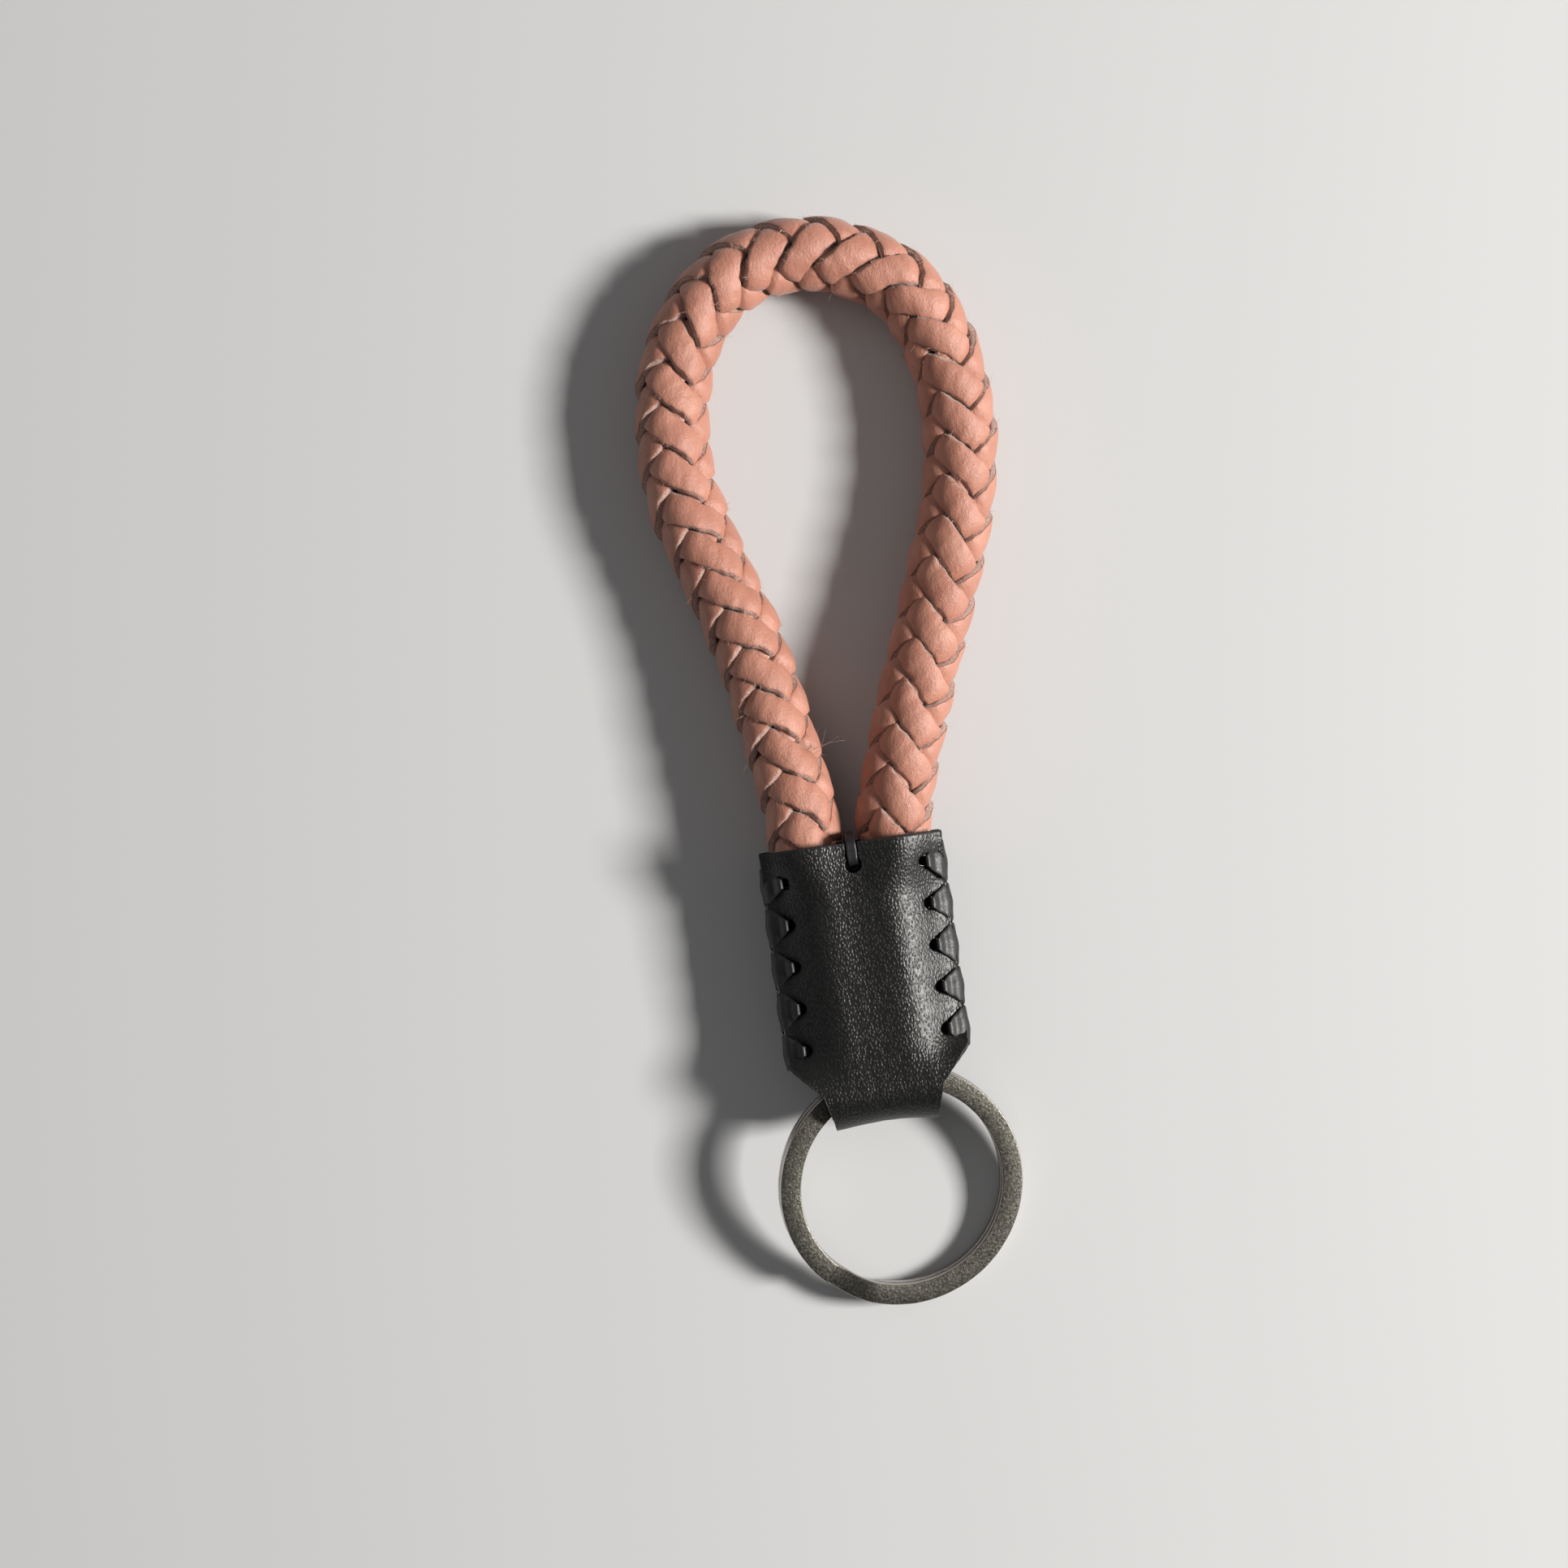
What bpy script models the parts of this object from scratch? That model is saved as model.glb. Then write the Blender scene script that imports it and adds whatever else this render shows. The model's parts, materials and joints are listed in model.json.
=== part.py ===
"""A wristlet keychain: a braided leather loop whose two ends are laced into a folded black
leather sleeve, with a flat split ring swinging in the fold of the sleeve.

X is across the sleeve, +Y runs along it towards the loop, +Z is up. The object lies on z = 0.
Lengths are written in millimetres and turned into metres as each object is made.
"""
import math

import bmesh
import bpy
from mathutils import Euler, Vector

MM = 0.001

# The split ring: two turns of flat wire.
RING_OUTER_RADIUS = 15.0
RING_WALL = 2.5
RING_WIRE_THICKNESS = 1.1
RING_COIL_GAP = 0.1
RING_RAMP_DEGREES = 26.0
RING_CROSSOVER_DEGREES = 250.0
RING_STEPS_PER_TURN = 48

# Where the ring swings in the fold.
HINGE_TO_RING_CENTRE = 12.3
RING_DROOP_DEGREES = 10.0
RING_ROLL_DEGREES = 8.0

# The sleeve: one strip of leather folded over the ring.
LEATHER = 1.2
MID_Z = 6.65
HINGE_Y = -2.1
PANEL_LENGTH = 30.1
SLEEVE_X = -0.6
HALF_WIDTH = 10.9
CHAMFER_START = 3.5
HALF_WIDTH_AT_AXIS = 7.3
HALF_WIDTH_AT_FOLD = 6.4
FOLD_DEPTH = 2.85
FOLD_DEPTH_AT_SIDES = 3.3
FOLD_HEIGHT = 3.5
FOLD_SHARE = 0.14
SLEEVE_TOP = HINGE_Y + PANEL_LENGTH

# The side lacing, the holes that it runs through, and the stitch between the strap's ends.
HOLE_COUNT = 5
HOLE_SPACING = 5.1
HOLE_X = 8.6
HOLE_RADIUS = 0.85
FIRST_HOLE_DROP = {"left": 3.9, "right": 3.5}
LACE_RADIUS = 0.45
LACE_STANDOFF = 0.85
SLOT_WIDTH = 1.5
SLOT_LENGTH = 2.7
SLOT_HOLE_RADIUS = 1.0
STITCH_RADIUS = 0.4
STITCH_PROUD = 0.9

# The braided strap. The route is the loop's centreline, from the sleeve's left leg to its right:
# across, beyond the sleeve's mouth, and above the surface.
STRAP_RADIUS = 4.55
STRAP_SPACING = 4.0
LEG_X = 5.35
LEG_END_X = 4.1
LEG_END_RADIUS = 2.6
LEG_DEPTH = 16.0
TAPER_LENGTH = 3.2
WHIPPING_RADIUS = 3.35
WHIPPING_BORE = 2.8
WHIPPING_LENGTH = 8.0
STRAP_ROUTE = [
    (-6.0, 4.0, 6.6),
    (-7.4, 14.0, 6.1),
    (-9.2, 24.2, 5.5),
    (-12.2, 34.6, 5.0),
    (-15.0, 45.0, 4.7),
    (-14.8, 54.8, 4.6),
    (-12.4, 62.7, 4.6),
    (-7.6, 68.7, 4.6),
    (-2.0, 71.4, 4.6),
    (3.9, 71.7, 4.6),
    (9.4, 70.0, 4.6),
    (14.7, 66.3, 4.6),
    (18.2, 59.9, 4.6),
    (19.6, 50.3, 4.6),
    (18.4, 40.3, 4.7),
    (15.2, 30.8, 5.1),
    (11.6, 21.4, 5.6),
    (8.1, 11.9, 6.2),
    (5.5, 3.6, 6.6),
]


def clear_scene():
    """Remove every object, so that the file holds this part alone."""
    for thing in list(bpy.data.objects):
        bpy.data.objects.remove(thing, do_unlink=True)


def material(name, colour, roughness, metallic=0.0):
    """A Principled material with the part's colour and finish."""
    made = bpy.data.materials.new(name)
    made.use_nodes = True
    shader = made.node_tree.nodes["Principled BSDF"]
    shader.inputs["Base Color"].default_value = (*colour, 1.0)
    shader.inputs["Roughness"].default_value = roughness
    shader.inputs["Metallic"].default_value = metallic
    made.diffuse_color = (*colour, 1.0)
    return made


def mesh_object(name, points, faces, finish):
    """An object from points in millimetres, with its normals facing out."""
    mesh = bpy.data.meshes.new(name)
    mesh.from_pydata([Vector(p) * MM for p in points], [], faces)
    shape = bmesh.new()
    shape.from_mesh(mesh)
    bmesh.ops.recalc_face_normals(shape, faces=shape.faces)
    shape.to_mesh(mesh)
    shape.free()
    thing = bpy.data.objects.new(name, mesh)
    bpy.context.scene.collection.objects.link(thing)
    mesh.materials.append(finish)
    return thing


def smooth_route(points, steps):
    """A Catmull-Rom curve through the points, with the same number of steps in each stretch."""
    route = [Vector(p) for p in points]
    first = 2 * route[0] - route[1]
    last = 2 * route[-1] - route[-2]
    padded = [first, *route, last]
    curve = []
    for i in range(1, len(padded) - 2):
        a, b, c, d = padded[i - 1:i + 3]
        for step in range(steps):
            t = step / steps
            curve.append(0.5 * (
                2 * b
                + (c - a) * t
                + (2 * a - 5 * b + 4 * c - d) * t * t
                + (3 * b - a - 3 * c + d) * t ** 3
            ))
    curve.append(route[-1])
    return curve


def evenly_spaced(curve, spacing):
    """Points along a fine curve, at most the given spacing apart."""
    lengths = [0.0]
    for a, b in zip(curve, curve[1:]):
        lengths.append(lengths[-1] + (b - a).length)
    count = math.ceil(lengths[-1] / spacing)
    points = []
    i = 0
    for k in range(count + 1):
        along = lengths[-1] * k / count
        while i < len(curve) - 2 and lengths[i + 1] < along:
            i += 1
        t = (along - lengths[i]) / (lengths[i + 1] - lengths[i])
        points.append(curve[i].lerp(curve[i + 1], min(t, 1.0)))
    return points


def bevelled_curve(name, points, radius, finish, resolution=2, shares=None, closed=False):
    """A round cord along the points, with a share of the radius at each of them."""
    data = bpy.data.curves.new(name, "CURVE")
    data.dimensions = "3D"
    data.bevel_depth = radius * MM
    data.bevel_resolution = resolution
    data.use_fill_caps = not closed
    spline = data.splines.new("POLY")
    spline.points.add(len(points) - 1)
    spline.use_cyclic_u = closed
    for i, point in enumerate(points):
        spline.points[i].co = (*(Vector(point) * MM), 1.0)
        spline.points[i].radius = shares[i] if shares else 1.0
    thing = bpy.data.objects.new(name, data)
    bpy.context.scene.collection.objects.link(thing)
    data.materials.append(finish)
    return thing


def blend(value, stops):
    """A smooth function through (value, result) stops, flat beyond the first and the last."""
    if value <= stops[0][0]:
        return stops[0][1]
    for (a, low), (b, high) in zip(stops, stops[1:]):
        if value <= b:
            t = (value - a) / (b - a)
            t = t * t * (3 - 2 * t)
            return low + (high - low) * t
    return stops[-1][1]


def half_width(y):
    """Half the sleeve's width at a height above the hinge axis, with its cut corners."""
    if y >= CHAMFER_START:
        return HALF_WIDTH
    if y >= 0:
        return HALF_WIDTH_AT_AXIS + (HALF_WIDTH - HALF_WIDTH_AT_AXIS) * y / CHAMFER_START
    t = min(-y / FOLD_DEPTH, 1.0)
    return HALF_WIDTH_AT_AXIS + (HALF_WIDTH_AT_FOLD - HALF_WIDTH_AT_AXIS) * t


def half_gap(x, y):
    """Half the space between the two panels, x from the sleeve's middle, y above the hinge."""
    top = PANEL_LENGTH
    crown = blend(y, [(0, FOLD_HEIGHT), (7, 3.9), (top - 8, 4.5), (top, 5.45)])
    edge = blend(y, [(0.5, FOLD_HEIGHT), (6.5, 0.4), (top - 7, 0.4), (top, 2.3)])
    valley = blend(y, [(0, 0.0), (8, 0.25), (top - 8, 0.7), (top, 1.5)])
    shoulder = blend(y, [(top - 8, 3.8), (top, 6.0)])
    gap = blend(abs(x), [(shoulder, crown), (HALF_WIDTH, edge)])
    if abs(x) < LEG_X:
        gap -= valley * math.cos(math.pi * x / (2 * LEG_X)) ** 2
    return gap


def sleeve_inner_point(s, v):
    """The strip's inner surface: s is 1 at the front top edge, 0 at the fold and -1 behind."""
    side = 1 if s >= 0 else -1
    a = abs(s)
    if a > FOLD_SHARE:
        y = PANEL_LENGTH * (a - FOLD_SHARE) / (1 - FOLD_SHARE)
        x = v * half_width(y)
        z = side * half_gap(x, y)
    else:
        angle = math.pi / 2 * a / FOLD_SHARE
        depth = FOLD_DEPTH + (FOLD_DEPTH_AT_SIDES - FOLD_DEPTH) * v * v
        y = -depth * math.cos(angle)
        x = v * half_width(y)
        z = side * FOLD_HEIGHT * math.sin(angle)
    return Vector((SLEEVE_X + x, HINGE_Y + y, MID_Z + z))


def sleeve_normal(s, v):
    """The outward direction of the strip at a point."""
    step = 0.004
    along = sleeve_inner_point(min(s + step, 1), v) - sleeve_inner_point(max(s - step, -1), v)
    across = sleeve_inner_point(s, min(v + step, 1)) - sleeve_inner_point(s, max(v - step, -1))
    return across.cross(along).normalized()


def over_panel(x, y, standoff):
    """The height above the sleeve's middle of a point that stands off its outer surface."""
    slope = (half_gap(x + 0.05, y) - half_gap(x - 0.05, y)) / 0.1
    return half_gap(x, y) + (LEATHER + standoff) * math.hypot(1, slope)


def make_sleeve(finish):
    """The folded strip as one closed solid, pierced for the lacing and the centre stitch."""
    panel_rows = 12
    fold_rows = 5
    columns = 18
    panel = [FOLD_SHARE + (1 - FOLD_SHARE) * i / panel_rows for i in range(1, panel_rows + 1)]
    fold = [FOLD_SHARE * i / fold_rows for i in range(1, fold_rows + 1)]
    half = fold + panel
    rows = [-s for s in reversed(half)] + [0.0] + half
    across = [2 * j / columns - 1 for j in range(columns + 1)]
    inner = [[sleeve_inner_point(s, v) for v in across] for s in rows]
    outer = [
        [inner[i][j] + sleeve_normal(s, v) * LEATHER for j, v in enumerate(across)]
        for i, s in enumerate(rows)
    ]
    wide = len(across)
    size = len(rows) * wide
    points = [p for row in inner + outer for p in row]
    faces = []
    for i in range(len(rows) - 1):
        for j in range(columns):
            a = i * wide + j
            faces.append((a, a + 1, a + wide + 1, a + wide))
            faces.append((size + a, size + a + wide, size + a + wide + 1, size + a + 1))
        for edge in (i * wide, i * wide + columns):
            faces.append((edge, edge + wide, size + edge + wide, size + edge))
    for j in range(columns):
        for a in (j, (len(rows) - 1) * wide + j):
            faces.append((a, a + 1, size + a + 1, size + a))
    sleeve = mesh_object("sleeve_leather", points, faces, finish)
    pierce(sleeve)
    return sleeve


def lacing_rows(side):
    """The height of each lacing hole on one side."""
    first = SLEEVE_TOP - FIRST_HOLE_DROP[side]
    return [first - HOLE_SPACING * i for i in range(HOLE_COUNT)]


def pierce(sleeve):
    """Cut the lacing holes, and the keyhole slot in the top edge, through both panels."""
    cutter = bmesh.new()
    deep = 30.0
    for side, sign in (("left", -1), ("right", 1)):
        for y in lacing_rows(side):
            add_drill(cutter, SLEEVE_X + sign * HOLE_X, y, HOLE_RADIUS, deep)
    add_keyhole(cutter, deep)
    bmesh.ops.recalc_face_normals(cutter, faces=cutter.faces)
    mesh = bpy.data.meshes.new("sleeve_cutter")
    cutter.to_mesh(mesh)
    cutter.free()
    tool = bpy.data.objects.new("sleeve_cutter", mesh)
    shelf = bpy.data.collections.new("cutters")
    bpy.context.scene.collection.children.link(shelf)
    shelf.objects.link(tool)
    tool.hide_render = True
    tool.display_type = "WIRE"
    cut = sleeve.modifiers.new("holes", "BOOLEAN")
    cut.operation = "DIFFERENCE"
    cut.solver = "EXACT"
    cut.object = tool


def add_drill(shape, x, y, radius, deep):
    """A closed eight-sided prism through the sleeve, from below it to above it."""
    outline = [
        (x + radius * math.cos(math.pi * (k + 0.5) / 4), y + radius * math.sin(math.pi * (k + 0.5) / 4))
        for k in range(8)
    ]
    add_prism(shape, outline, deep)


def add_keyhole(shape, deep):
    """The slot that opens in the top edge, with the round hole at its foot."""
    foot = SLEEVE_TOP - SLOT_LENGTH
    half = SLOT_WIDTH / 2
    start = math.asin(half / SLOT_HOLE_RADIUS)
    outline = [(SLEEVE_X - half, SLEEVE_TOP + 2), (SLEEVE_X + half, SLEEVE_TOP + 2)]
    steps = 8
    for k in range(steps + 1):
        angle = start + (2 * math.pi - 2 * start) * k / steps
        x = SLEEVE_X + SLOT_HOLE_RADIUS * math.sin(angle)
        outline.append((x, foot + SLOT_HOLE_RADIUS * math.cos(angle)))
    add_prism(shape, outline, deep)


def add_prism(shape, outline, deep):
    """A closed prism of the outline, standing up through the sleeve."""
    rings = [
        [shape.verts.new(Vector((x, y, MID_Z + end * deep / 2)) * MM) for x, y in outline]
        for end in (-1, 1)
    ]
    shape.faces.new(rings[0])
    shape.faces.new(rings[1])
    count = len(outline)
    for k in range(count):
        n = (k + 1) % count
        shape.faces.new((rings[0][k], rings[0][n], rings[1][n], rings[1][k]))


def lace_route(side, sign):
    """Up through each hole, straight out over the edge, and behind to the next hole."""
    holes = lacing_rows(side)
    shoulder_x = (HOLE_X + HALF_WIDTH) / 2
    route = []
    for y in holes:
        fall = 0.4 if y == holes[-1] else 1.0
        over = over_panel(HOLE_X, y - HINGE_Y, LACE_STANDOFF)
        before = over_panel(shoulder_x, y - HINGE_Y, LACE_STANDOFF)
        behind = over_panel(shoulder_x, y - 2.4 * fall - HINGE_Y, LACE_STANDOFF)
        at_edge = half_gap(HALF_WIDTH, y - HINGE_Y) + LEATHER + LACE_STANDOFF
        route += [(HOLE_X, y, over * share) for share in (-1.0, -0.55, 0.0, 0.55, 1.0)]
        route += [
            (shoulder_x, y, before),
            (HALF_WIDTH, y - 0.1 * fall, at_edge),
            (HALF_WIDTH + 0.8, y - 0.3 * fall, at_edge * 0.72),
            (HALF_WIDTH + 0.95, y - 0.6 * fall, 0.0),
            (HALF_WIDTH + 0.8, y - 0.9 * fall, -at_edge * 0.72),
            (HALF_WIDTH, y - 1.3 * fall, -at_edge),
            (shoulder_x, y - 2.4 * fall, -behind),
        ]
    return [(SLEEVE_X + sign * x, y, MID_Z + height) for x, y, height in route]


def make_laces(finish):
    """One lace down each side of the sleeve."""
    for side, sign in (("left", -1), ("right", 1)):
        points = smooth_route(lace_route(side, sign), 3)
        bevelled_curve(f"side_lace_{side}", points, LACE_RADIUS, finish, resolution=1)


def rounded_rectangle(low, high, radius, steps):
    """Points round a rectangle in a plane, with each corner turned in the same few steps."""
    corners = [(low[0], low[1]), (high[0], low[1]), (high[0], high[1]), (low[0], high[1])]
    points = []
    for k, (x, y) in enumerate(corners):
        centre_x = x + (radius if x == low[0] else -radius)
        centre_y = y + (radius if y == low[1] else -radius)
        for step in range(steps + 1):
            angle = math.pi + (k + step / steps) * math.pi / 2
            points.append((centre_x + radius * math.cos(angle), centre_y + radius * math.sin(angle)))
    return points


def make_centre_stitch(finish):
    """The loop of lace that ties front to back between the two legs of the strap."""
    foot = SLEEVE_TOP - SLOT_LENGTH
    reach = half_gap(0, foot - HINGE_Y) + LEATHER * 0.75
    outline = rounded_rectangle((foot, -reach), (SLEEVE_TOP + STITCH_PROUD, reach), 1.0, 3)
    points = [(SLEEVE_X, y, MID_Z + z) for y, z in outline]
    bevelled_curve("centre_stitch", points, STITCH_RADIUS, finish, resolution=1, closed=True)


def strap_leg(sign):
    """The strap's end inside the sleeve, from the mouth down to its cut end."""
    steps = [(0.0, LEG_X), (TAPER_LENGTH, 4.75), (7.0, LEG_END_X), (LEG_DEPTH, LEG_END_X)]
    return [(SLEEVE_X + sign * x, SLEEVE_TOP - depth, MID_Z) for depth, x in steps]


def strap_share(point):
    """How thick the strap is at a point: full outside the sleeve, drawn in at its bound end."""
    depth = SLEEVE_TOP - point[1]
    return blend(depth, [(0.0, 1.0), (TAPER_LENGTH, LEG_END_RADIUS / STRAP_RADIUS)])


def make_strap(finish):
    """The braided strap as one round cord, from one end inside the sleeve to the other."""
    left = list(reversed(strap_leg(-1)))
    right = strap_leg(1)
    loop = [(x, SLEEVE_TOP + beyond, z) for x, beyond, z in STRAP_ROUTE]
    points = evenly_spaced(smooth_route(left + loop + right, 12), STRAP_SPACING)
    shares = [strap_share(p) for p in points]
    bevelled_curve("strap_braid", points, STRAP_RADIUS, finish, resolution=4, shares=shares)


def make_whippings(finish):
    """The thread binding on each end of the strap, a short thick-walled sleeve of turns."""
    sides = 16
    for side, sign in (("left", -1), ("right", 1)):
        x = SLEEVE_X + sign * LEG_END_X
        top = SLEEVE_TOP - LEG_DEPTH + WHIPPING_LENGTH + 0.5
        outline = [
            (WHIPPING_BORE, top),
            (WHIPPING_RADIUS, top),
            (WHIPPING_RADIUS, top - WHIPPING_LENGTH),
            (WHIPPING_BORE, top - WHIPPING_LENGTH),
        ]
        points = []
        for k in range(sides):
            angle = 2 * math.pi * k / sides
            points += [
                (x + r * math.cos(angle), y, MID_Z + r * math.sin(angle)) for r, y in outline
            ]
        faces = []
        for k in range(sides):
            a = k * 4
            b = (k + 1) % sides * 4
            faces += [(a + j, a + (j + 1) % 4, b + (j + 1) % 4, b + j) for j in range(4)]
        mesh_object(f"strap_whipping_{side}", points, faces, finish)


def ring_level(turn_degrees):
    """Which side of the ring's middle plane the wire is on, at an angle along its two turns."""
    level = (RING_WIRE_THICKNESS + RING_COIL_GAP) / 2
    ramp_start = 360.0 - RING_RAMP_DEGREES
    return blend(turn_degrees, [(ramp_start, -level), (360.0, level)])


def make_ring(finish):
    """The split ring: flat wire wound twice, stepping from one coil to the other."""
    total = 720.0 - RING_RAMP_DEGREES
    count = round(RING_STEPS_PER_TURN * total / 360)
    half = RING_WIRE_THICKNESS / 2
    points = []
    for k in range(count + 1):
        turn = total * k / count
        angle = math.radians(RING_CROSSOVER_DEGREES + turn)
        z = ring_level(turn)
        for radius, side in (
            (RING_OUTER_RADIUS - RING_WALL, -half),
            (RING_OUTER_RADIUS, -half),
            (RING_OUTER_RADIUS, half),
            (RING_OUTER_RADIUS - RING_WALL, half),
        ):
            x = radius * math.cos(angle)
            y = radius * math.sin(angle) - HINGE_TO_RING_CENTRE
            points.append((x, y, z + side))
    faces = [(0, 1, 2, 3), (4 * count + 3, 4 * count + 2, 4 * count + 1, 4 * count)]
    for k in range(count):
        a = 4 * k
        faces += [(a + j, a + (j + 1) % 4, a + 4 + (j + 1) % 4, a + 4 + j) for j in range(4)]
    ring = mesh_object("split_ring", points, faces, finish)
    ring.location = Vector((0, HINGE_Y, MID_Z)) * MM
    droop = Euler((math.radians(RING_DROOP_DEGREES), 0, 0)).to_matrix()
    roll = Euler((0, math.radians(RING_ROLL_DEGREES), 0)).to_matrix()
    ring.rotation_euler = (droop @ roll).to_euler()
    return ring


def main():
    clear_scene()
    tan = material("braided_leather", (0.66, 0.36, 0.25), 0.55)
    black = material("pebbled_leather", (0.012, 0.012, 0.013), 0.5)
    lace = material("lace_leather", (0.01, 0.01, 0.011), 0.4)
    thread = material("waxed_thread", (0.05, 0.035, 0.025), 0.7)
    steel = material("antique_nickel", (0.22, 0.20, 0.17), 0.38, metallic=1.0)
    make_sleeve(black)
    make_laces(lace)
    make_centre_stitch(lace)
    make_strap(tan)
    make_whippings(thread)
    make_ring(steel)


main()
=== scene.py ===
"""The look of the wristlet keychain: a braided leather loop, a laced leather sleeve and a split ring.

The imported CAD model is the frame. Every piece here rides on one of its bodies. All but the strap's
core and its loose fibres stand in for one of its nodes, in the same place. Lengths are in
millimetres until a mesh is made.
"""
import json
import math

import bpy
import numpy as np
from mathutils import Matrix, Vector


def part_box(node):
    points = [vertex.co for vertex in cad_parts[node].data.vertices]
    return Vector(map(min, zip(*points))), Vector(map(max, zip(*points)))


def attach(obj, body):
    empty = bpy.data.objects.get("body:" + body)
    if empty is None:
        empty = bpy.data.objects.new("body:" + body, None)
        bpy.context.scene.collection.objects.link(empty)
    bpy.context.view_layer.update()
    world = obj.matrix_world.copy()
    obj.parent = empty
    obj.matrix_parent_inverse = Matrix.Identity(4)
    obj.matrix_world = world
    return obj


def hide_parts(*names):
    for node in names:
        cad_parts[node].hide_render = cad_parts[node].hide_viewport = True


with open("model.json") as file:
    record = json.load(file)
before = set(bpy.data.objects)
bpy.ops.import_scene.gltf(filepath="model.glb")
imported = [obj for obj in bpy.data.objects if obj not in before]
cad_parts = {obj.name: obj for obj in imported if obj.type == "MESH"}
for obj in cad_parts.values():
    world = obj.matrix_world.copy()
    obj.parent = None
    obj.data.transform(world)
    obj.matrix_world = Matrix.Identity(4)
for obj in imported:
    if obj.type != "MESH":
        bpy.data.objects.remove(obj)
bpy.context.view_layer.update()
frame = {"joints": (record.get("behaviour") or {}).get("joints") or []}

MM = 0.001
RNG = np.random.default_rng(7)

# Places that come from the frame.
HINGE = np.array(frame["joints"][0]["pos_m"]) / MM
SLEEVE_BOX = [np.array(corner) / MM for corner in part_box("sleeve_leather")]
SLEEVE_TOP = float(SLEEVE_BOX[1][1])
SLEEVE_X = float(SLEEVE_BOX[0][0] + SLEEVE_BOX[1][0]) / 2
HINGE_Y = float(HINGE[1])
MID_Z = float(HINGE[2])
PANEL_LENGTH = SLEEVE_TOP - HINGE_Y

# The view: straight down, on an object that lies turned a little anticlockwise.
CAMERA_TARGET = (-7.5, 36.0, 6.0)
CAMERA_DISTANCE = 450.0
CAMERA_ROLL_DEGREES = -7.8
VIEW_WIDTH = 190.7

# The floor, the lights (place, size in metres, watts, colour) and the surround.
FLOOR_HALF_SIZE = 1500.0
FLOOR_DROP = 0.01
KEY_LIGHT = ((943, -94, 634), 0.25, 24.0, (1.0, 0.97, 0.93))
FILL_LIGHT = ((-600, 500, 1000), 1.2, 1.2, (1.0, 0.97, 0.95))
SURROUND_COLOUR = (0.92, 0.90, 0.89, 1.0)
SURROUND_STRENGTH = 0.14

# The strap: eight strips braided over two and under two, round a core.
STRAP_RADIUS = 4.55
BRAID_PITCH = 20.8
STRIPS_EACH_WAY = 4
STRIP_WIDTH = 3.9
STRIP_THICKNESS = 0.95
STRIP_DOME = 0.26
STRIP_TILT = 0.26
WEAVE_AMPLITUDE = 0.5
WEAVE_SOFTNESS = 0.28
CORE_RADIUS = 2.5
STRAP_CLEARANCE = 0.02

# How far the weave is turned round the strap at its start and at its end.
WEAVE_TURN_DEGREES = (52.5, 72.5)

# How much each strip strays from an even weave.
WIDTH_WANDER = 0.045
RAGGEDNESS = 0.03
SIDEWAYS_WANDER = 0.32
TILT_WANDER = 0.18
LIFT_WANDER = 0.13

# The loose fibres grow from the edges of strips that lie on top and well off the floor.
TUFT_COUNT = 1500
FIBRE_RINGS = 5
FIBRE_FLOOR = 1.5
FIBRE_CLEARANCE = 0.1
FIBRES_ABOVE = 0.25

# The strap's course, and the thread that binds its ends.
LEG_X = 5.35
LEG_END_X = 4.1
LEG_END_RADIUS = 2.6
LEG_DEPTH = 16.0
TAPER_LENGTH = 3.2
THREAD_RADIUS = 0.26
ROUTE_STEPS = 24
STRAP_ROUTE = [
    (-6.0, 4.0, 6.6),
    (-7.4, 14.0, 6.1),
    (-9.2, 24.2, 5.5),
    (-12.2, 34.6, 5.0),
    (-15.0, 45.0, 4.7),
    (-14.8, 54.8, 4.6),
    (-12.4, 62.7, 4.6),
    (-7.6, 68.7, 4.6),
    (-2.0, 71.4, 4.6),
    (3.9, 71.7, 4.6),
    (9.4, 70.0, 4.6),
    (14.7, 66.3, 4.6),
    (18.2, 59.9, 4.6),
    (19.6, 50.3, 4.6),
    (18.4, 40.3, 4.7),
    (15.2, 30.8, 5.1),
    (11.6, 21.4, 5.6),
    (8.1, 11.9, 6.2),
    (5.5, 3.6, 6.6),
]

# The sleeve's cut, fold and holes. The dip between the strap's legs is shallower than in the CAD.
LEATHER = 1.2
HALF_WIDTH = 10.9
CHAMFER_START = 3.5
HALF_WIDTH_AT_AXIS = 7.3
HALF_WIDTH_AT_FOLD = 6.4
FOLD_DEPTH = 2.85
FOLD_DEPTH_AT_SIDES = 3.3
FOLD_HEIGHT = 3.5
FOLD_SHARE = 0.14
VALLEY_SHARE = 0.55
HOLE_COUNT = 5
HOLE_SPACING = 5.1
HOLE_X = 8.6
HOLE_RADIUS = 0.75
FIRST_HOLE_DROP = {"left": 3.9, "right": 3.5}
SLOT_WIDTH = 1.5
SLOT_LENGTH = 2.7
SLOT_HOLE_RADIUS = 1.0
CUTTER_HALF_HEIGHT = 9.7
HOLE_SIDES = 22
HOLE_TURN = 0.117

# The laces.
LACE_STANDOFF = 0.22
LACE_THICKNESS = 0.34
LACE_AREA = 1.2
LACE_WIDTH_IN_HOLE = 1.2
LACE_WIDTH_AT_EDGE = 4.75
LACE_CURL = 0.06
PLEAT_DEPTH = 0.012
STITCH_PROUD = 0.9

# The ring.
RING_OUTER_RADIUS = 15.0
RING_WALL = 2.5
RING_WIRE_THICKNESS = 1.1
RING_COIL_GAP = 0.1
RING_RAMP_DEGREES = 26.0
RING_CROSSOVER_DEGREES = 250.0
HINGE_TO_RING_CENTRE = 12.3
RING_DROOP_DEGREES = 10.0
RING_ROLL_DEGREES = 8.0
RING_EDGE_ROUND = 0.16


# ---------------------------------------------------------------- small geometry helpers

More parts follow.
